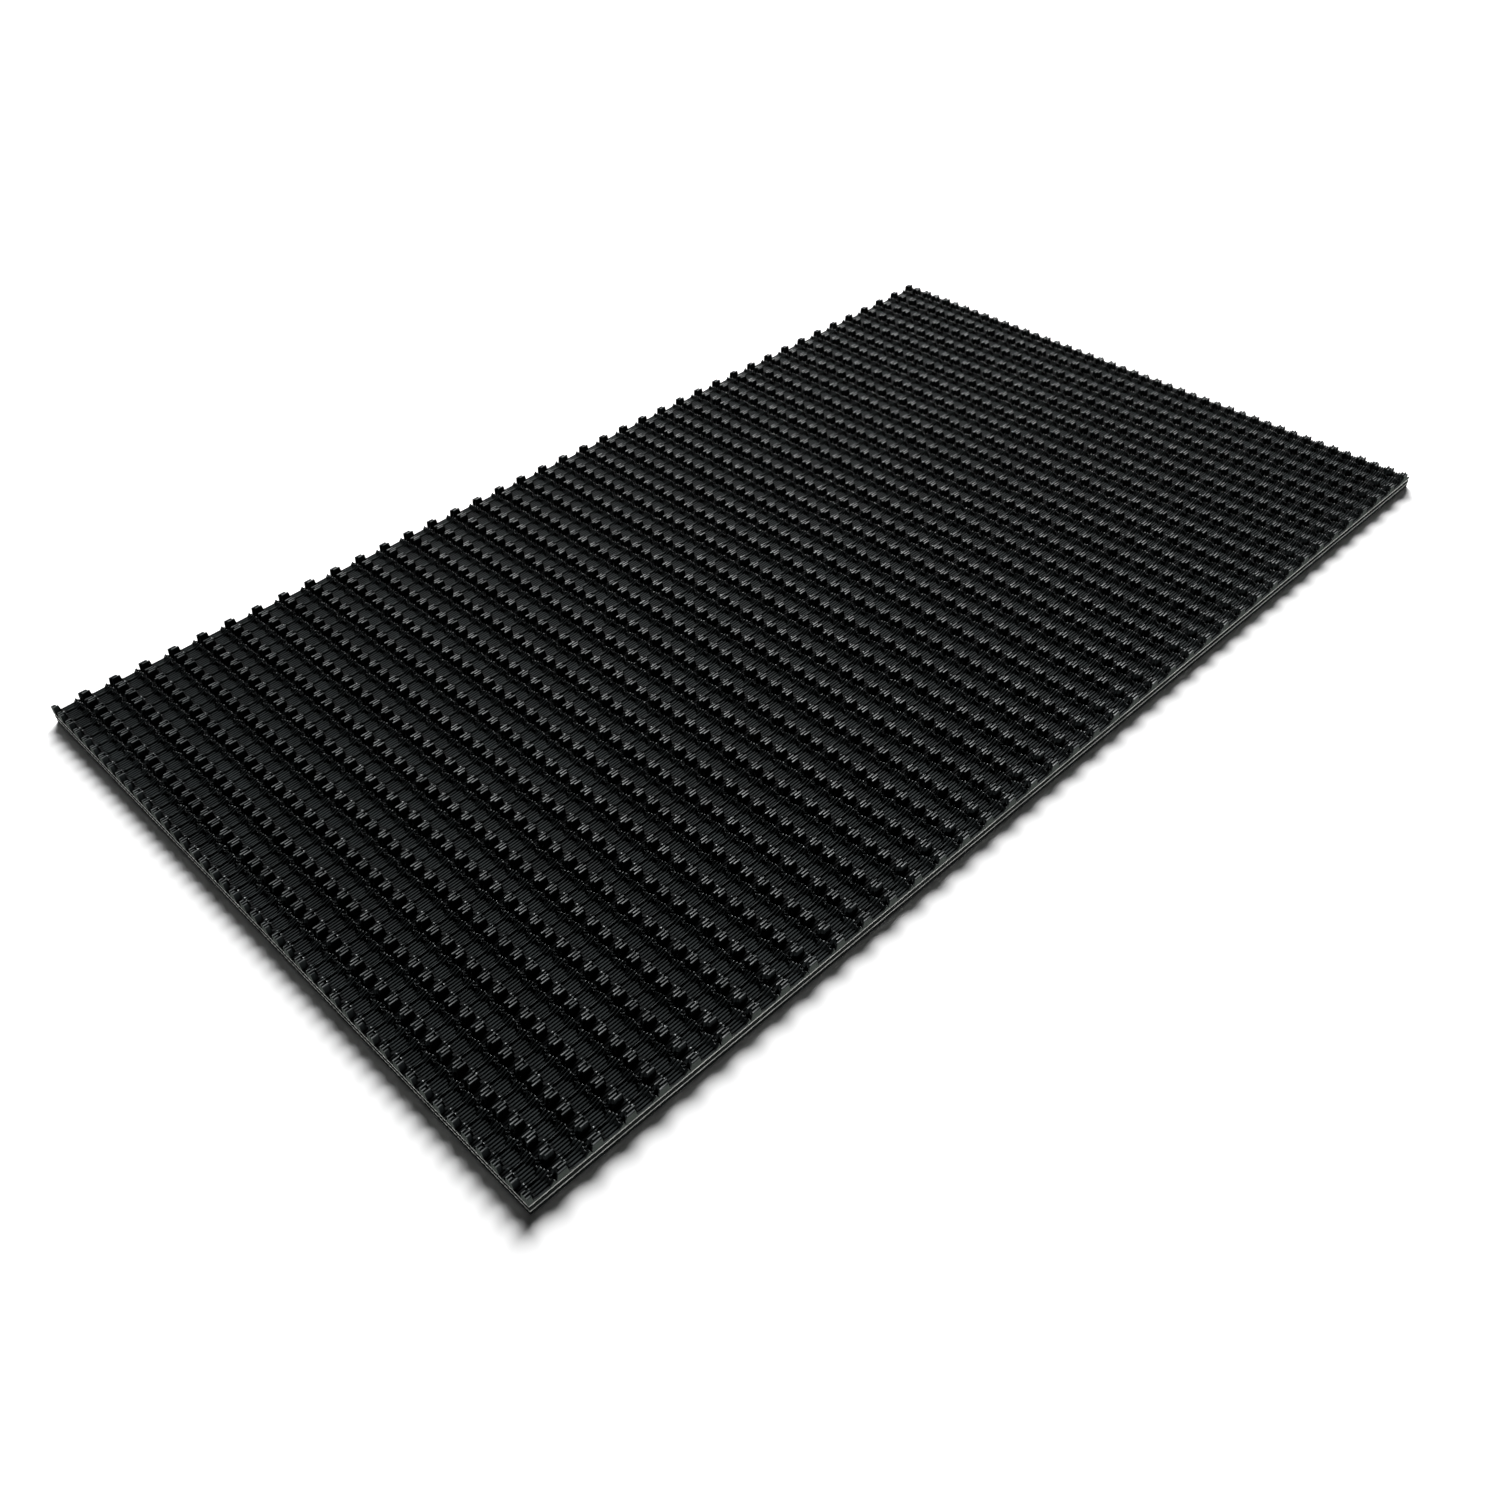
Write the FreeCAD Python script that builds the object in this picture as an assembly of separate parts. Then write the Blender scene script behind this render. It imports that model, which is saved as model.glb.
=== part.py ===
import FreeCAD, Part
import os

# A door mat cut from two-ply grip-top sheet, lying flat with its studs up.
# X runs along its ribs, Y across them and Z up from its underside. Sizes are in millimetres.

# Outline of the cut piece
mat_length = 600.0
mat_width = 350.0

# Layers, from the floor up
bottom_cover_thickness = 1.3
ply_thickness = 1.0
bonding_thickness = 1.9
cover_base_thickness = 0.6

# Grip pattern: each cell holds one stud, and one low ramp half a row further across
grip_height = 3.7
column_pitch = 14.86
row_pitch = 8.085
first_column_inset = 0.1
first_row_inset = 1.7

# Studs, measured where they meet the base of the cover
stud_length = 4.6
stud_width = 4.4
stud_draft = 0.3

# Ramps climb towards +X and end in a steep face just before the next stud
crest_before_stud = 4.0
ramp_run = 4.5
ramp_drop = 0.4
ramp_height = 1.8
ramp_draft = 0.25
row_to_ramp = 0.25

node_folder = "parts"
join_tolerance = 1e-4

# What follows from the sizes above
half_length = mat_length / 2
half_width = mat_width / 2
lower_ply_bottom = bottom_cover_thickness
bonding_bottom = lower_ply_bottom + ply_thickness
upper_ply_bottom = bonding_bottom + bonding_thickness
cover_bottom = upper_ply_bottom + ply_thickness
cover_floor = cover_bottom + cover_base_thickness
ramp_crest = -crest_before_stud
ramp_start = ramp_crest - ramp_run
ramp_end = ramp_crest + ramp_drop
ramp_width = row_pitch - stud_width - 2 * row_to_ramp
previous_stud_end = stud_length / 2 - column_pitch
cell_start = (previous_stud_end + ramp_start) / 2
cell_near_side = -(stud_width + row_to_ramp) / 2


def point(x, y, z):
    return FreeCAD.Vector(x, y, z)


def planar_face(points):
    return Part.Face(Part.makePolygon(points + points[:1]))


def layer(bottom, thickness):
    """A flat layer of the sheet, as large as the mat."""
    corner = point(-half_length, -half_width, bottom)
    return Part.makeBox(mat_length, mat_width, thickness, corner)


def rectangle(x_low, x_high, y_low, y_high, z):
    return [point(x_low, y_low, z), point(x_high, y_low, z),
            point(x_high, y_high, z), point(x_low, y_high, z)]


def walls(lower, upper):
    """The faces that join two outlines with the same number of points."""
    count = len(lower)
    return [planar_face([lower[i], lower[(i + 1) % count], upper[(i + 1) % count], upper[i]])
            for i in range(count)]


def stud_base():
    return rectangle(-stud_length / 2, stud_length / 2, -stud_width / 2, stud_width / 2, cover_floor)


def stud_faces():
    """A block with a flat top and four drafted sides."""
    top = rectangle(-stud_length / 2 + stud_draft, stud_length / 2 - stud_draft,
                    -stud_width / 2 + stud_draft, stud_width / 2 - stud_draft,
                    cover_floor + grip_height)
    return walls(stud_base(), top) + [planar_face(top)]


def ramp_base():
    middle = row_pitch / 2
    return rectangle(ramp_start, ramp_end, middle - ramp_width / 2, middle + ramp_width / 2, cover_floor)


def ramp_faces():
    """A wedge: a long slope, a steep end and two drafted sides."""
    near_start, near_end, far_end, far_start = ramp_base()
    crest = cover_floor + ramp_height
    near_crest = point(ramp_crest, near_start.y + ramp_draft, crest)
    far_crest = point(ramp_crest, far_start.y - ramp_draft, crest)
    return [planar_face([near_start, near_crest, far_crest, far_start]),
            planar_face([near_end, far_end, far_crest, near_crest]),
            planar_face([near_start, near_end, near_crest]),
            planar_face([far_start, far_crest, far_end])]


def cell_limits():
    """Where a cell begins and ends along X and across Y, about its stud's centre."""
    return cell_start, cell_start + column_pitch, cell_near_side, cell_near_side + row_pitch


def cell_top():
    """The moulded face of one cell: its stud, its ramp and the floor round them."""
    floor = planar_face(rectangle(*cell_limits(), cover_floor))
    for base in (stud_base(), ramp_base()):
        floor = floor.cut(planar_face(base))
    return stud_faces() + ramp_faces() + floor.Faces


def cell_block(top_faces):
    """One cell as a closed solid, for the cells that the cut edges pass through."""
    lower = rectangle(*cell_limits(), cover_bottom)
    upper = rectangle(*cell_limits(), cover_floor)
    shell = Part.makeShell(top_faces + walls(lower, upper) + [planar_face(lower)])
    shell.sewShape()
    block = Part.Solid(shell)
    if block.Volume < 0:
        block.reverse()
    return block


def positions(stud_inset, pitch, start, half_span):
    """Stud positions of the cells that reach inside the cut edges, and whether each cell is whole."""
    stud = stud_inset - half_span
    while stud + start > -half_span:
        stud -= pitch
    found = []
    while stud + start < half_span - join_tolerance:
        low = stud + start
        high = low + pitch
        if high > -half_span + join_tolerance:
            whole = low > -half_span - join_tolerance and high < half_span + join_tolerance
            found.append((stud, whole))
        stud += pitch
    return found


def grip_cover():
    """The top cover: its base, studs and ramps in one moulded solid."""
    x_low, x_high, y_low, y_high = cell_limits()
    columns = positions(first_column_inset, column_pitch, x_low, half_length)
    rows = positions(first_row_inset, row_pitch, y_low, half_width)
    outline = Part.makeBox(mat_length, mat_width, cover_base_thickness + grip_height,
                           point(-half_length, -half_width, cover_bottom))
    top_faces = cell_top()
    block = cell_block(top_faces)
    faces = []
    for x, whole_x in columns:
        for y, whole_y in rows:
            place = point(x, y, 0)
            if whole_x and whole_y:
                faces += [face.translated(place) for face in top_faces]
                continue
            trimmed = block.translated(place).common(outline)
            inner_x = [edge for edge in (x + x_low, x + x_high) if abs(edge) < half_length - join_tolerance]
            inner_y = [edge for edge in (y + y_low, y + y_high) if abs(edge) < half_width - join_tolerance]
            faces += [face for face in trimmed.Faces if is_outside(face, inner_x, inner_y)]
    faces.append(cover_underside([x + x_low for x, whole in columns], [y + y_low for y, whole in rows]))
    shell = Part.makeShell(faces)
    shell.sewShape()
    cover = Part.Solid(shell)
    if cover.Volume < 0:
        cover.reverse()
    return cover


def is_outside(face, inner_x, inner_y):
    """Whether a face of a trimmed cell is on the cover's own surface above its underside."""
    box = face.BoundBox
    between_columns = any(max(abs(box.XMin - x), abs(box.XMax - x)) < join_tolerance for x in inner_x)
    between_rows = any(max(abs(box.YMin - y), abs(box.YMax - y)) < join_tolerance for y in inner_y)
    underside = box.ZMax < cover_bottom + join_tolerance
    return not (between_columns or between_rows or underside)


def cover_underside(x_joints, y_joints):
    """The flat underside, with a corner at each place where two edge cells meet."""
    xs = [x for x in x_joints if abs(x) < half_length - join_tolerance]
    ys = [y for y in y_joints if abs(y) < half_width - join_tolerance]
    outline = [point(x, -half_width, cover_bottom) for x in [-half_length] + xs]
    outline += [point(half_length, y, cover_bottom) for y in [-half_width] + ys]
    outline += [point(x, half_width, cover_bottom) for x in [half_length] + xs[::-1]]
    outline += [point(-half_length, y, cover_bottom) for y in [half_width] + ys[::-1]]
    return planar_face(outline)


def main():
    nodes = {
        "bottom_cover": layer(0, bottom_cover_thickness),
        "lower_fabric_ply": layer(lower_ply_bottom, ply_thickness),
        "bonding_layer": layer(bonding_bottom, bonding_thickness),
        "upper_fabric_ply": layer(upper_ply_bottom, ply_thickness),
        "grip_cover": grip_cover(),
    }
    os.makedirs(node_folder, exist_ok=True)
    for name, shape in nodes.items():
        if not shape.isValid() or len(shape.Solids) != 1:
            raise RuntimeError(name + " is not one valid solid")
        shape.exportStep(node_folder + "/" + name + ".step")
        print(name, len(shape.Faces), "faces", round(shape.Volume), "mm3")


main()
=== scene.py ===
import math
import random

import bmesh
import bpy
from mathutils import Matrix, Vector


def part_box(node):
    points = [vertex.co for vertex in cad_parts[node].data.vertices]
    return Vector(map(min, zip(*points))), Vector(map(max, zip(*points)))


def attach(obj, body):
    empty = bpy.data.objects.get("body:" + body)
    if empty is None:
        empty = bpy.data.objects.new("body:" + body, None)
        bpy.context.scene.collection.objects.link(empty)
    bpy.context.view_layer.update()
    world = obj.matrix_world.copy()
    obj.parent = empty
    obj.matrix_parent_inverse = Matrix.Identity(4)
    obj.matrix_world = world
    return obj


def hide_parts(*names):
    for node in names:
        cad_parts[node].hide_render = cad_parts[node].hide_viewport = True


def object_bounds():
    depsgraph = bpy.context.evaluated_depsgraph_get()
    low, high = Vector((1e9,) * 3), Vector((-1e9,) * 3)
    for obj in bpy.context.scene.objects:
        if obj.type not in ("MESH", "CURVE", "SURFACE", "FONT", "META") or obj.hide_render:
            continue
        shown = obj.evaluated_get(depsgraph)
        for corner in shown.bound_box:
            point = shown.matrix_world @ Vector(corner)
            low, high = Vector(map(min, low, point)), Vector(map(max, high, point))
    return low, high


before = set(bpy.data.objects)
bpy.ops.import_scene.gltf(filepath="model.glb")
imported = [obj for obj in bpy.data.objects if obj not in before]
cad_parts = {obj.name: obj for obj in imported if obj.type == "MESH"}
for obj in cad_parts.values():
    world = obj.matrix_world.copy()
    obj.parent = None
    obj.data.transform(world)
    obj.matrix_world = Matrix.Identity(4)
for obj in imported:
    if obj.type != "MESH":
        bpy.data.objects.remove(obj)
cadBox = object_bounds()
random.seed(7)

mm = 0.001
low, high = cadBox
halfLength = (high.x - low.x) / 2
halfWidth = (high.y - low.y) / 2
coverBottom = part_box("grip_cover")[0].z
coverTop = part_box("grip_cover")[1].z
print("frame loaded, mat", round(2 * halfLength, 3), "by", round(2 * halfWidth, 3), "m")


# camera, floor and light

view = {"place": (-0.4053, -0.3975, 0.4168), "aim": (-0.094, -0.068, 0.0), "roll": -1.95,
        "lens": 33.6, "sensor": 36.0}


def makeCamera():
    data = bpy.data.cameras.new("camera")
    data.lens = view["lens"]
    data.sensor_width = view["sensor"]
    data.clip_start = 0.01
    camera = bpy.data.objects.new("camera", data)
    bpy.context.scene.collection.objects.link(camera)
    sight = Vector(view["aim"]) - Vector(view["place"])
    turn = sight.to_track_quat("-Z", "Y").to_matrix() @ Matrix.Rotation(math.radians(view["roll"]), 3, "Z")
    camera.matrix_world = Matrix.Translation(view["place"]) @ turn.to_4x4()
    bpy.context.scene.camera = camera


studio = {"floorSize": 12.0, "floorTone": (0.93, 0.93, 0.93), "floorRoughness": 0.9, "floorGloss": 0.1,
          "worldTone": (0.97, 0.99, 1.0), "worldPower": 0.01,
          "keyPlace": (2.3, 2.3, 2.2), "keySize": 3.2, "keyPower": 520.0, "keyTone": (1.0, 1.0, 1.0),
          "fillFrom": (-1.0, -1.0, 0.02), "fillPower": 1.2}


def makeStudio():
    bm = bmesh.new()
    bmesh.ops.create_grid(bm, x_segments=1, y_segments=1, size=studio["floorSize"] / 2)
    floor = meshObject(bm, "floor")
    floor.data.materials.append(floorMaterial())
    world = bpy.data.worlds.new("studio")
    world.use_nodes = True
    background = world.node_tree.nodes["Background"]
    background.inputs["Color"].default_value = (*studio["worldTone"], 1)
    # the backdrop shows pale behind the floor but gives little light
    seen = world.node_tree.nodes.new("ShaderNodeLightPath").outputs["Is Camera Ray"]
    strength = spread(world.node_tree.nodes, world.node_tree.links, seen, 0, 1, studio["worldPower"], 1)
    world.node_tree.links.new(strength, background.inputs["Strength"])
    bpy.context.scene.world = world
    bpy.context.scene.view_settings.view_transform = "Standard"
    lamp = bpy.data.lights.new("key", "AREA")
    lamp.shape = "DISK"
    lamp.size = studio["keySize"]
    lamp.energy = studio["keyPower"]
    lamp.color = studio["keyTone"]
    key = hangLamp("key", lamp, studio["keyPlace"])
    key.location = studio["keyPlace"]
    # a level light, which reaches the cut edges and hardly touches the floor
    sun = bpy.data.lights.new("fill", "SUN")
    sun.energy = studio["fillPower"]
    hangLamp("fill", sun, studio["fillFrom"])


def hangLamp(name, lamp, shinesFrom):
    hung = bpy.data.objects.new(name, lamp)
    bpy.context.scene.collection.objects.link(hung)
    hung.rotation_euler = (-Vector(shinesFrom)).to_track_quat("-Z", "Y").to_euler()
    return hung


def meshObject(bm, name):
    mesh = bpy.data.meshes.new(name)
    bm.to_mesh(mesh)
    bm.free()
    piece = bpy.data.objects.new(name, mesh)
    bpy.context.scene.collection.objects.link(piece)
    return piece


# small helpers for node trees

def newTree(name):
    material = bpy.data.materials.new(name)
    material.use_nodes = True
    nodes = material.node_tree.nodes
    return material, nodes, material.node_tree.links, nodes["Principled BSDF"]


def addNode(nodes, kind, settings=None, **values):
    node = nodes.new(kind)
    for key, value in (settings or {}).items():
        setattr(node, key, value)
    for key, value in values.items():
        node.inputs[key].default_value = value
    return node


def mathNode(nodes, links, operation, first, second=None, clamp=False):
    node = nodes.new("ShaderNodeMath")
    node.operation = operation
    node.use_clamp = clamp
    for index, value in enumerate((first, second)):
        if value is None:
            continue
        if isinstance(value, (int, float)):
            node.inputs[index].default_value = value
        else:
            links.new(value, node.inputs[index])
    return node.outputs[0]


def spread(nodes, links, value, fromLow, fromHigh, toLow, toHigh):
    node = nodes.new("ShaderNodeMapRange")
    node.inputs["From Min"].default_value = fromLow
    node.inputs["From Max"].default_value = fromHigh
    node.inputs["To Min"].default_value = toLow
    node.inputs["To Max"].default_value = toHigh
    links.new(value, node.inputs["Value"])
    return node.outputs["Result"]


def mixColour(nodes, links, factor, first, second):
    node = nodes.new("ShaderNodeMix")
    node.data_type = "RGBA"
    for socket, value in ((0, factor), (6, first), (7, second)):
        if isinstance(value, tuple):
            node.inputs[socket].default_value = (*value, 1)
        elif isinstance(value, (int, float)):
            node.inputs[socket].default_value = value
        else:
            links.new(value, node.inputs[socket])
    return node.outputs[2]


def newGroup(name, inputs, outputs):
    tree = bpy.data.node_groups.new(name, "ShaderNodeTree")
    for label, kind, value in inputs:
        socket = tree.interface.new_socket(label, in_out="INPUT", socket_type=kind)
        if value is not None:
            socket.default_value = value
    for label, kind in outputs:
        tree.interface.new_socket(label, in_out="OUTPUT", socket_type=kind)
    start = tree.nodes.new("NodeGroupInput")
    end = tree.nodes.new("NodeGroupOutput")
    return tree, tree.nodes, tree.links, start, end


def place(nodes, group, **values):
    node = nodes.new("ShaderNodeGroup")
    node.node_tree = group
    for key, value in values.items():
        node.inputs[key].default_value = value
    return node


# effects that the rubbers share

def rubberGrain():
    group, nodes, links, start, end = newGroup(
        "rubberGrain",
        [("Vector", "NodeSocketVector", None), ("Grain", "NodeSocketFloat", 2200.0),
         ("Blotch", "NodeSocketFloat", 60.0), ("Roughness", "NodeSocketFloat", 0.5)],
        [("Tone", "NodeSocketFloat"), ("Roughness", "NodeSocketFloat"), ("Height", "NodeSocketFloat")])
    fine = addNode(nodes, "ShaderNodeTexNoise", Detail=3.0, Roughness=0.6)
    broad = addNode(nodes, "ShaderNodeTexNoise", Detail=4.0, Roughness=0.55)
    links.new(start.outputs["Vector"], fine.inputs["Vector"])
    links.new(start.outputs["Vector"], broad.inputs["Vector"])
    links.new(start.outputs["Grain"], fine.inputs["Scale"])
    links.new(start.outputs["Blotch"], broad.inputs["Scale"])
    tone = mathNode(nodes, links, "ADD", mathNode(nodes, links, "MULTIPLY", fine.outputs["Fac"], 0.35),
                    mathNode(nodes, links, "MULTIPLY", broad.outputs["Fac"], 0.65))
    links.new(tone, end.inputs["Tone"])
    shift = spread(nodes, links, tone, 0.3, 0.7, -0.09, 0.09)
    links.new(mathNode(nodes, links, "ADD", start.outputs["Roughness"], shift, clamp=True),
              end.inputs["Roughness"])
    links.new(fine.outputs["Fac"], end.inputs["Height"])
    return group


def dustSpecks():
    group, nodes, links, start, end = newGroup(
        "dustSpecks",
        [("Vector", "NodeSocketVector", None), ("Spacing", "NodeSocketFloat", 90.0),
         ("Share", "NodeSocketFloat", 0.03)],
        [("Mask", "NodeSocketFloat")])
    cells = addNode(nodes, "ShaderNodeTexVoronoi", {"feature": "F1"})
    links.new(start.outputs["Vector"], cells.inputs["Vector"])
    links.new(start.outputs["Spacing"], cells.inputs["Scale"])
    speck = spread(nodes, links, cells.outputs["Distance"], 0.03, 0.015, 0.0, 1.0)
    split = nodes.new("ShaderNodeSeparateColor")
    links.new(cells.outputs["Color"], split.inputs["Color"])
    chosen = mathNode(nodes, links, "LESS_THAN", split.outputs["Red"], start.outputs["Share"])
    links.new(mathNode(nodes, links, "MULTIPLY", speck, chosen), end.inputs["Mask"])
    return group


def cutFace():
    # 1 on the faces that the knife left round the outline, 0 inside it
    group, nodes, links, start, end = newGroup(
        "cutFace",
        [("Vector", "NodeSocketVector", None), ("Half length", "NodeSocketFloat", halfLength),
         ("Half width", "NodeSocketFloat", halfWidth), ("Band", "NodeSocketFloat", 0.08 * mm)],
        [("Mask", "NodeSocketFloat")])
    split = nodes.new("ShaderNodeSeparateXYZ")
    links.new(start.outputs["Vector"], split.inputs["Vector"])
    reached = []
    for axis, half in (("X", "Half length"), ("Y", "Half width")):
        away = mathNode(nodes, links, "ABSOLUTE", split.outputs[axis])
        edge = mathNode(nodes, links, "SUBTRACT", start.outputs[half], start.outputs["Band"])
        reached.append(mathNode(nodes, links, "GREATER_THAN", away, edge))
    links.new(mathNode(nodes, links, "MAXIMUM", *reached), end.inputs["Mask"])
    return group


# the light rib-end tone here is a painted highlight standing for glints, not a colour the rubber has
rubberLook = {"darkShare": 0.55, "lightShare": 1.5, "paintedGlintTone": (0.42, 0.44, 0.44), "coatRoughness": 0.3,
              "dustTone": (0.45, 0.45, 0.43), "cutDulling": 0.2, "grainDepth": 0.05 * mm, "gloss": 0.02,
              "imprintScale": 220.0, "imprintWander": 0.6}


def rubber(name, tone, cutTone, roughness, bump, imprint=0.0, paintedPitShade=None):
    material, nodes, links, shader = newTree(name)
    coords = nodes.new("ShaderNodeTexCoord").outputs["Object"]
    grain = place(nodes, groups["grain"], Roughness=roughness)
    specks = place(nodes, groups["specks"])
    cut = place(nodes, groups["cut"])
    for node in (grain, specks, cut):
        links.new(coords, node.inputs["Vector"])
    dark = tuple(rubberLook["darkShare"] * c for c in tone)
    light = tuple(rubberLook["lightShare"] * c for c in tone)
    clouding = spread(nodes, links, grain.outputs["Tone"], 0.3, 0.7, 0.0, 1.0)
    base = mixColour(nodes, links, clouding, dark, light)
    # a dark pit colour paints shade into the pits and grooves, and a light rib-end colour paints highlights
    if paintedPitShade:
        base = addPaintedShadeAndGlint(nodes, links, shader, base, paintedPitShade)
    base = mixColour(nodes, links, cut.outputs["Mask"], base, cutTone)
    base = mixColour(nodes, links, specks.outputs["Mask"], base, rubberLook["dustTone"])
    links.new(base, shader.inputs["Base Color"])
    dull = mathNode(nodes, links, "MULTIPLY", cut.outputs["Mask"], rubberLook["cutDulling"])
    links.new(mathNode(nodes, links, "ADD", grain.outputs["Roughness"], dull, clamp=True),
              shader.inputs["Roughness"])
    relief = nodes.new("ShaderNodeBump")
    relief.inputs["Strength"].default_value = bump
    relief.inputs["Distance"].default_value = rubberLook["grainDepth"]
    height = grain.outputs["Height"]
    if imprint:
        height = mathNode(nodes, links, "ADD", height,
                          mathNode(nodes, links, "MULTIPLY", clothImprint(nodes, links, coords), imprint))
    links.new(height, relief.inputs["Height"])
    links.new(relief.outputs["Normal"], shader.inputs["Normal"])
    shader.inputs["Specular IOR Level"].default_value = rubberLook["gloss"]
    return material


# painted shade darkens the pits and grooves, and a painted highlight lightens the rib ends, which also get a
# thin gloss coat
def addPaintedShadeAndGlint(nodes, links, shader, base, paintedPitShade):
    # dull in the pits, and lighter with a thin gloss where the rib ends are polished
    paintedLightMap = addNode(nodes, "ShaderNodeAttribute", {"attribute_name": "paintedLightMap"}).outputs["Fac"]
    base = mixColour(nodes, links, paintedLightMap, paintedPitShade, base)
    coatAndPaintedGlint = spread(nodes, links, paintedLightMap, 1.0, 2.0, 0.0, 1.0)
    links.new(coatAndPaintedGlint, shader.inputs["Coat Weight"])
    shader.inputs["Coat Roughness"].default_value = rubberLook["coatRoughness"]
    return mixColour(nodes, links, coatAndPaintedGlint, base, rubberLook["paintedGlintTone"])


def clothImprint(nodes, links, coords):
    # the fine weave that the liner cloth leaves on the underside
    waves = []
    for direction in ("X", "Y"):
        wave = addNode(nodes, "ShaderNodeTexWave", {"bands_direction": direction}, Detail=1.0,
                       Scale=rubberLook["imprintScale"], Distortion=rubberLook["imprintWander"])
        links.new(coords, wave.inputs["Vector"])
        waves.append(wave.outputs["Fac"])
    return mathNode(nodes, links, "MULTIPLY", *waves)


fabricLook = {"fibreScale": 5200.0, "smearScale": 130.0, "smearShare": 0.75, "relief": 0.5,
              "reliefDepth": 0.06 * mm, "sheen": 0.3}


def fabric(name, tone, darkTone):
    material, nodes, links, shader = newTree(name)
    coords = nodes.new("ShaderNodeTexCoord").outputs["Object"]
    fibres = addNode(nodes, "ShaderNodeTexNoise", Scale=fabricLook["fibreScale"], Detail=4.0, Roughness=0.7)
    smears = addNode(nodes, "ShaderNodeTexNoise", Scale=fabricLook["smearScale"], Detail=5.0, Roughness=0.65)
    links.new(coords, fibres.inputs["Vector"])
    links.new(coords, smears.inputs["Vector"])
    soiled = spread(nodes, links, smears.outputs["Fac"], 0.42, 0.62, 0.0, 1.0)
    smeared = mathNode(nodes, links, "MULTIPLY", soiled, fabricLook["smearShare"])
    base = mixColour(nodes, links, smeared, tone, darkTone)
    base = mixColour(nodes, links, spread(nodes, links, fibres.outputs["Fac"], 0.35, 0.65, 0.0, 0.4),
                     base, darkTone)
    links.new(base, shader.inputs["Base Color"])
    rough = spread(nodes, links, fibres.outputs["Fac"], 0.3, 0.7, 0.75, 0.95)
    links.new(rough, shader.inputs["Roughness"])
    relief = nodes.new("ShaderNodeBump")
    relief.inputs["Strength"].default_value = fabricLook["relief"]
    relief.inputs["Distance"].default_value = fabricLook["reliefDepth"]
    links.new(fibres.outputs["Fac"], relief.inputs["Height"])
    links.new(relief.outputs["Normal"], shader.inputs["Normal"])
    shader.inputs["Sheen Weight"].default_value = fabricLook["sheen"]
    return material


def floorMaterial():
    material, _, _, shader = newTree("paleFloor")
    shader.inputs["Base Color"].default_value = (*studio["floorTone"], 1)
    shader.inputs["Roughness"].default_value = studio["floorRoughness"]
    shader.inputs["Specular IOR Level"].default_value = studio["floorGloss"]
    return material


# the moulded cover, made in bands that meet in the grooves between ribs

# metres, apart from the last two lines: counts, a share, then heights in millimetres
cover = {"ribPitch": 8.085 * mm / 6, "columnPitch": 14.86 * mm, "firstColumn": 0.1 * mm,
         "firstRow": 1.7 * mm, "wander": 0.09 * mm, "heightWander": 0.05 * mm, "stillTop": 0.5 * mm,
         "bands": 5, "spareRibs": 2, "groovePaintedShade": 0.1,
         "gripHeight": 3.7, "crestDrop": 1.9, "topRound": 0.25}

# each point of a rib: place along the mat after the middle of a stud and height below its top,
# in millimetres, then how wide the crest is as a share of the rib, how deep the groove beside it is,
# and how much light is painted on: 0 is painted shade in the pits, 1 the plain rubber colour on the tops, 2
# a painted highlight with a gloss coat at the rib ends
pitchMm = cover["columnPitch"] / mm
floorLevel = -cover["gripHeight"]
crestTop = -cover["crestDrop"]
topRound = cover["topRound"]


def studRib(start, end, nub, early=0.0):
    return [(start, -topRound, 0.2, 0.6, 0.6), (start + topRound, 0, 0.14, 0.6, 1.35),
            (end - topRound, 0, 0.14, 0.6, 1.15), (end, -topRound, 0.2, 0.6, 0.4),
            (end + 0.4, floorLevel + 0.3, 0.3, 0.2, 0.1), (4.2 - early, floorLevel, 0.24, 0.35, 0.1),
            (5.0 - early, floorLevel, 0.18, 0.55, 1), (9.2 + early, floorLevel + 0.15, 0.18, 0.55, 1),
            (pitchMm + nub - 0.4, crestTop - 0.3, 0.2, 0.8, 0.1), (pitchMm + nub, crestTop, 0.15, 0.8, 2),
            (pitchMm + nub + 0.3, crestTop - 0.9, 0.2, 0.7, 0),
            (pitchMm + start - 0.35, floorLevel + 0.2, 0.2, 0.5, 1.6)]


def lowRib(crest, beside):
    middle = floorLevel + (0.05 if beside else 0.6)
    share, groove, paintedLightLevel = (0.18, 0.55, 0.95) if beside else (0.12, 0.85, 1.05)
    return [(-2.4, floorLevel, 0.2, 0.4, 0), (-1.0, floorLevel, 0.2, 0.4, 0),
            (0.8, floorLevel, 0.2, 0.4, 0), (2.4, floorLevel, 0.2, 0.4, 0),
            (3.4, floorLevel + 0.3, 0.16, 0.7, 1.6), (4.6, middle, share, groove, 0.1),
            (5.4, middle, share, groove, paintedLightLevel), (8.2, middle + 0.15, share, groove, paintedLightLevel),
            (9.2, -2.8, 0.16, 0.8, 0.6), (pitchMm + crest - 0.5, crestTop - 0.15, 0.14, 0.9, 0.9),
            (pitchMm + crest, crestTop, 0.15, 0.9, 2),
            (pitchMm + crest + 0.35, floorLevel + 0.4, 0.2, 0.5, 0)]


# twelve ribs make two rows of studs, then the pattern repeats
ribShapes = [studRib(-1.2, 2.7, -4.6, early=0.4), studRib(-2.3, 1.7, -3.7), lowRib(-3.4, True),
             lowRib(-3.0, False), lowRib(-3.4, True), studRib(-1.1, 2.7, -3.3),
             studRib(-2.1, 1.6, -3.8, early=0.4), studRib(-1.1, 2.7, -4.7), lowRib(-3.9, True),
             lowRib(-3.5, False), lowRib(-3.0, True), studRib(-2.3, 1.7, -4.2)]


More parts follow.
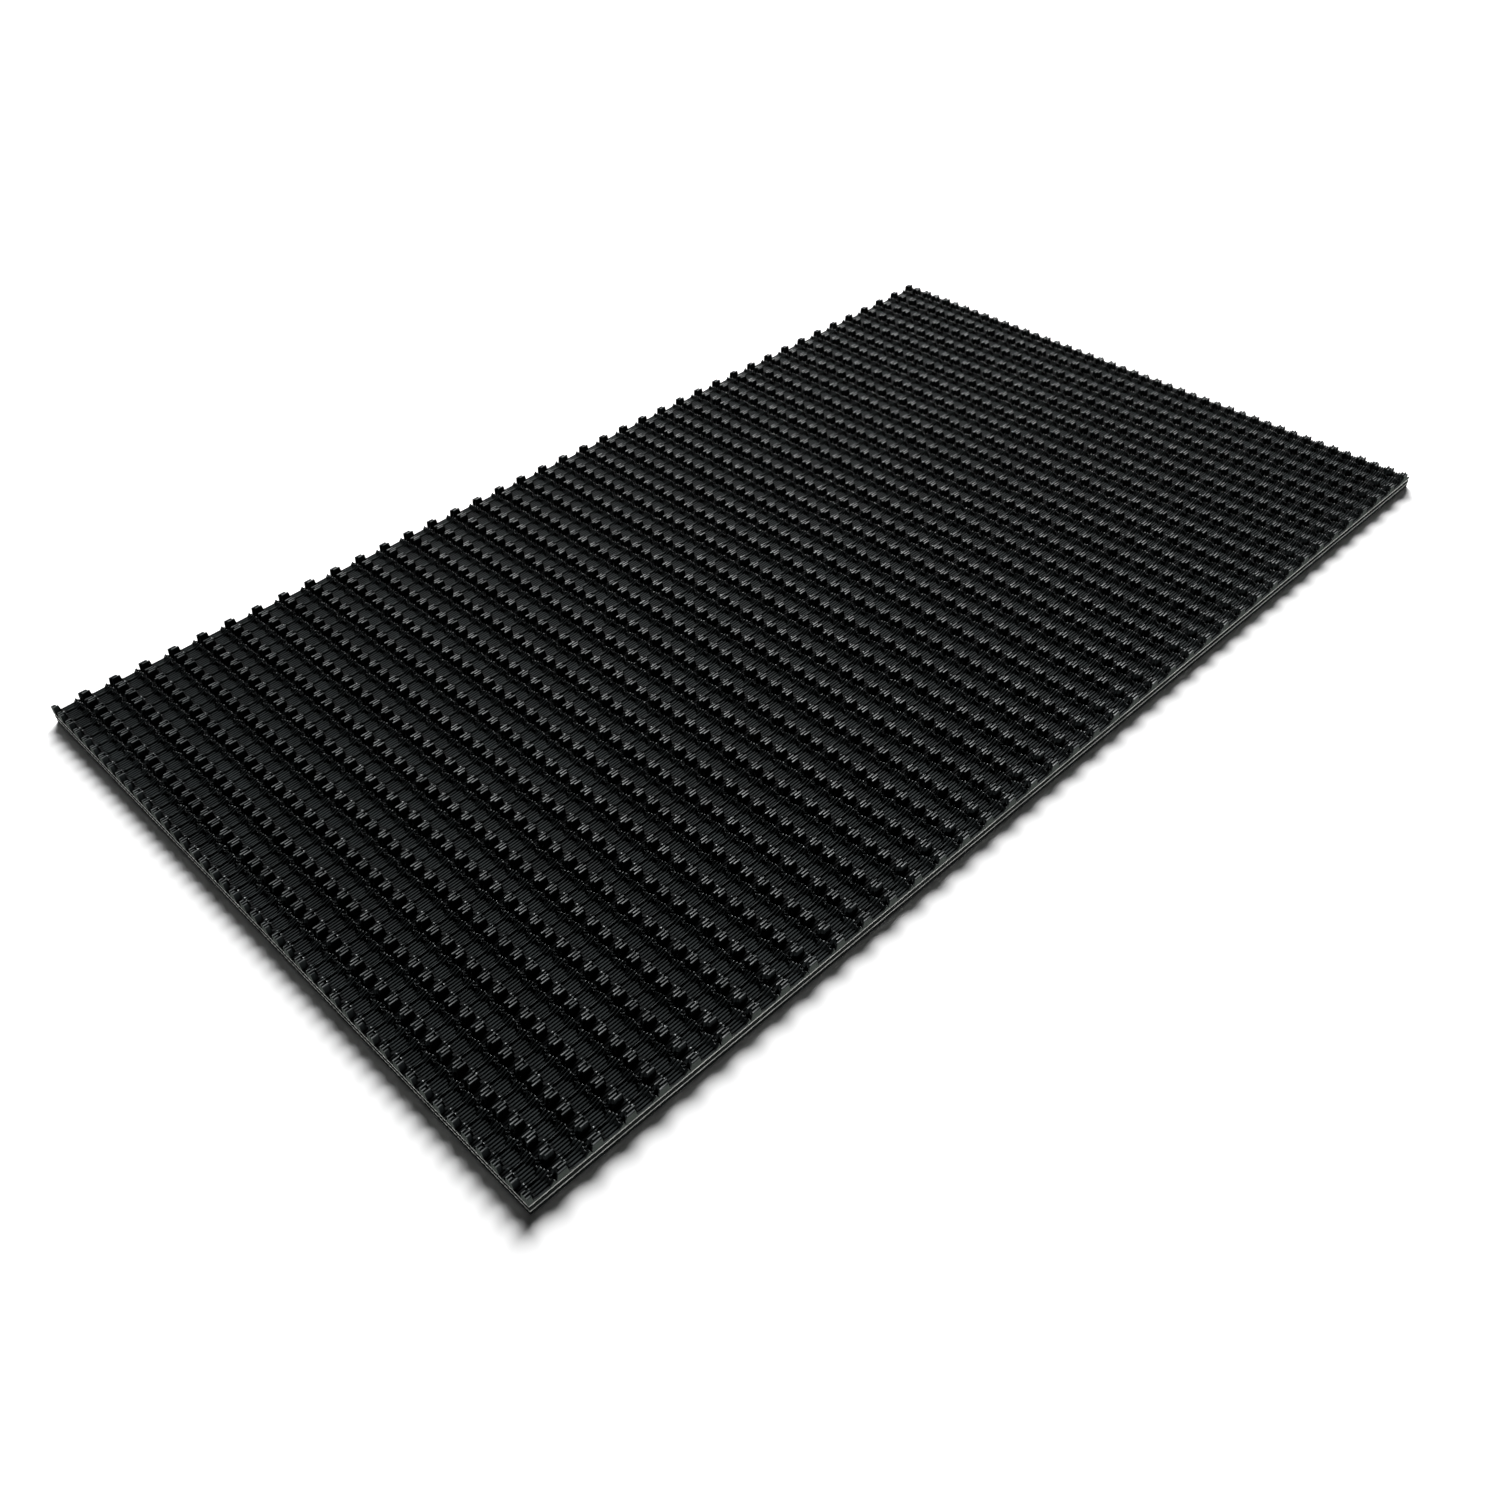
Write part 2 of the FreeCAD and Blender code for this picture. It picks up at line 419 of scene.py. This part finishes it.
def ribPoint(rib, step):
    shape = ribShapes[-rib % len(ribShapes)]
    turn, index = divmod(step, len(shape))
    x, z, crest, groove, paintedLightLevel = shape[index]
    return x * mm + turn * cover["columnPitch"], z * mm, crest * cover["ribPitch"], groove * mm, paintedLightLevel


# the chance shift of each point, shared by the two bands that meet there
ribRange = []
stepRange = []
ribShake = {}
pointsPerRib = 3    # one in the groove and two on the crest


def coverBand(number, firstRib, lastRib, firstStep, lastStep):
    steps = lastStep - firstStep
    bm = bmesh.new()
    bmesh.ops.create_grid(bm, x_segments=steps, y_segments=pointsPerRib * (lastRib - firstRib), size=1)
    # a per-point level read by the cover material: below 1 it paints shade, above 1 it paints a highlight
    paintedLightMap = bm.verts.layers.float.new("paintedLightMap")
    rowX = cover["firstColumn"] - halfLength
    rowY = cover["firstRow"] - halfWidth
    for index, vert in enumerate(bm.verts):
        across, along = divmod(index, steps + 1)
        rib, part = divmod(across, pointsPerRib)
        rib += firstRib
        step = along + firstStep
        here = ribPoint(rib, step)
        shake = ribShake[(rib - ribRange[0], step - stepRange[0])]
        centre = rowY + rib * cover["ribPitch"]
        if part == 0:
            before = ribPoint(rib - 1, step)
            x = (here[0] + before[0]) / 2
            z = min(here[1], before[1]) - min(here[3], before[3])
            y = centre - cover["ribPitch"] / 2
            # groove points get a low level, which paints shade into every groove
            vert[paintedLightMap] = cover["groovePaintedShade"] * min(here[4], before[4], 1)
        else:
            x, z = here[:2]
            y = centre + (part - 1.5) * 2 * here[2]
            # levels above 1 paint a highlight on the rib ends, at a chance strength per point
            vert[paintedLightMap] = min(here[4], 1) + max(here[4] - 1, 0) * shake[2]
        lift = shake[1] if z < -cover["stillTop"] else 0    # the tops stay at the full thickness
        vert.co = (rowX + x + shake[0], y, coverTop + z + lift)
    trimBand(bm)
    closeBand(bm)
    piece = meshObject(bm, "cover_band_" + str(number))
    piece.data.materials.append(materials["cover"])
    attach(piece, "root")
    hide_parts("grip_cover")
    return piece


def trimBand(bm):
    for spot, normal in (((halfLength, 0, 0), (1, 0, 0)), ((-halfLength, 0, 0), (-1, 0, 0)),
                         ((0, halfWidth, 0), (0, 1, 0)), ((0, -halfWidth, 0), (0, -1, 0))):
        bmesh.ops.bisect_plane(bm, geom=bm.verts[:] + bm.edges[:] + bm.faces[:], dist=1e-7,
                               plane_co=spot, plane_no=normal, clear_outer=True)


def closeBand(bm):
    rim = [edge for edge in bm.edges if edge.is_boundary]
    made = bmesh.ops.extrude_edge_only(bm, edges=rim)["geom"]
    for vert in made:
        if isinstance(vert, bmesh.types.BMVert):
            vert.co.z = coverBottom
    under = [edge for edge in made if isinstance(edge, bmesh.types.BMEdge)]
    bmesh.ops.contextual_create(bm, geom=[edge for edge in under if edge.is_boundary])
    bmesh.ops.recalc_face_normals(bm, faces=bm.faces[:])


def makeCover():
    ribPitch, columnPitch = cover["ribPitch"], cover["columnPitch"]
    stepsPerStud = len(ribShapes[0])
    firstRib = -cover["spareRibs"]
    lastRib = math.ceil((2 * halfWidth - cover["firstRow"]) / ribPitch) + cover["spareRibs"]
    firstStep = -stepsPerStud
    lastStep = math.ceil(2 * halfLength / columnPitch + 1) * stepsPerStud
    ribRange.extend((firstRib, lastRib))
    stepRange.extend((firstStep, lastStep))
    for rib in range(lastRib - firstRib + 1):
        for step in range(lastStep - firstStep + 1):
            # the third number is the chance strength of the painted highlight at each rib end
            ribShake[(rib, step)] = (random.uniform(-1, 1) * cover["wander"],
                                     random.uniform(-1, 1) * cover["heightWander"],
                                     random.uniform(0.2, 1))
    share = (lastRib - firstRib) / cover["bands"]
    for number in range(cover["bands"]):
        start = firstRib + round(number * share)
        end = firstRib + round((number + 1) * share)
        piece = coverBand(number + 1, start, end, firstStep, lastStep)
        print("cover band", number + 1, len(piece.data.polygons), "faces")


# the two fabric plies, with the crimped yarns that show where they were cut

ply = {"wave": 2.6 * mm, "lift": 0.2 * mm, "yarnHigh": 0.27 * mm, "yarnDeep": 0.2 * mm,
       "sides": 6, "stepsPerWave": 6, "recess": 0.22 * mm, "behind": 0.12 * mm}


def yarn(bm, start, along, outward, length, level, phase, depth):
    steps = round(length / ply["wave"] * ply["stepsPerWave"])
    sides = ply["sides"]
    strand = bmesh.new()
    bmesh.ops.create_grid(strand, x_segments=steps, y_segments=sides, size=1)
    for index, vert in enumerate(strand.verts):
        ring, step = divmod(index, steps + 1)
        angle = 2 * math.pi * (ring % sides) / sides
        travelled = length * step / steps
        crimp = math.sin(2 * math.pi * travelled / ply["wave"] + phase)
        out = ply["yarnDeep"] * math.cos(angle) - depth
        up = ply["yarnHigh"] * math.sin(angle) + ply["lift"] * crimp
        vert.co = start + along * travelled + outward * out + Vector((0, 0, level + up))
    bmesh.ops.remove_doubles(strand, verts=strand.verts[:], dist=0.001 * mm)
    bmesh.ops.holes_fill(strand, edges=[edge for edge in strand.edges if edge.is_boundary], sides=0)
    mesh = bpy.data.meshes.new("strand")
    strand.to_mesh(mesh)
    strand.free()
    bm.from_mesh(mesh)
    bpy.data.meshes.remove(mesh)


def makePly(name, node):
    bottom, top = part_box(node)
    inset = ply["recess"]
    bm = bmesh.new()
    bmesh.ops.create_grid(bm, x_segments=1, y_segments=1, size=1)
    for vert in bm.verts:
        vert.co = (vert.co.x * (halfLength - inset), vert.co.y * (halfWidth - inset), bottom.z)
    slab = bmesh.ops.extrude_face_region(bm, geom=bm.faces[:], use_keep_orig=True)["geom"]
    for vert in slab:
        if isinstance(vert, bmesh.types.BMVert):
            vert.co.z = top.z
    level = (bottom.z + top.z) / 2
    reach = ply["yarnDeep"]
    for axis, half, other in ((0, halfLength, halfWidth), (1, halfWidth, halfLength)):
        for side in (-1, 1):
            outward = Vector((0, 0, 0))
            outward[axis] = side
            along = Vector((0, 0, 0))
            along[1 - axis] = 1
            start = outward * half - along * (other - reach)
            for phase, depth in ((0, reach), (math.pi, reach + ply["behind"])):
                yarn(bm, start, along, outward, 2 * (other - reach), level, phase, depth)
    bmesh.ops.recalc_face_normals(bm, faces=bm.faces[:])
    piece = meshObject(bm, name)
    piece.data.materials.append(materials["fabric"])
    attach(piece, "root")
    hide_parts(node)
    return piece


def dressNode(node, material):
    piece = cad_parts[node]
    piece.data.materials.clear()
    piece.data.materials.append(material)


groups = {"grain": rubberGrain(), "specks": dustSpecks(), "cut": cutFace()}
materials = {
    # the cover's dark pit colour is painted shade
    "cover": rubber("coverRubber", (0.0205, 0.024, 0.0246), (0.062, 0.072, 0.065), 0.62, 0.35,
                    paintedPitShade=(0.003, 0.0035, 0.0037)),
    "bond": rubber("bondingRubber", (0.010, 0.011, 0.011), (0.014, 0.016, 0.015), 0.7, 0.5),
    "base": rubber("baseRubber", (0.012, 0.013, 0.013), (0.012, 0.014, 0.013), 0.65, 0.4, imprint=2.0),
    "fabric": fabric("plyFabric", (0.9, 0.91, 0.87), (0.38, 0.39, 0.37)),
}

makeCamera()
makeStudio()
print("camera and studio ready")
makeCover()
upperPly = makePly("upper_ply_weave", "upper_fabric_ply")
lowerPly = makePly("lower_ply_weave", "lower_fabric_ply")
print("plies woven")
dressNode("bonding_layer", materials["bond"])
dressNode("bottom_cover", materials["base"])
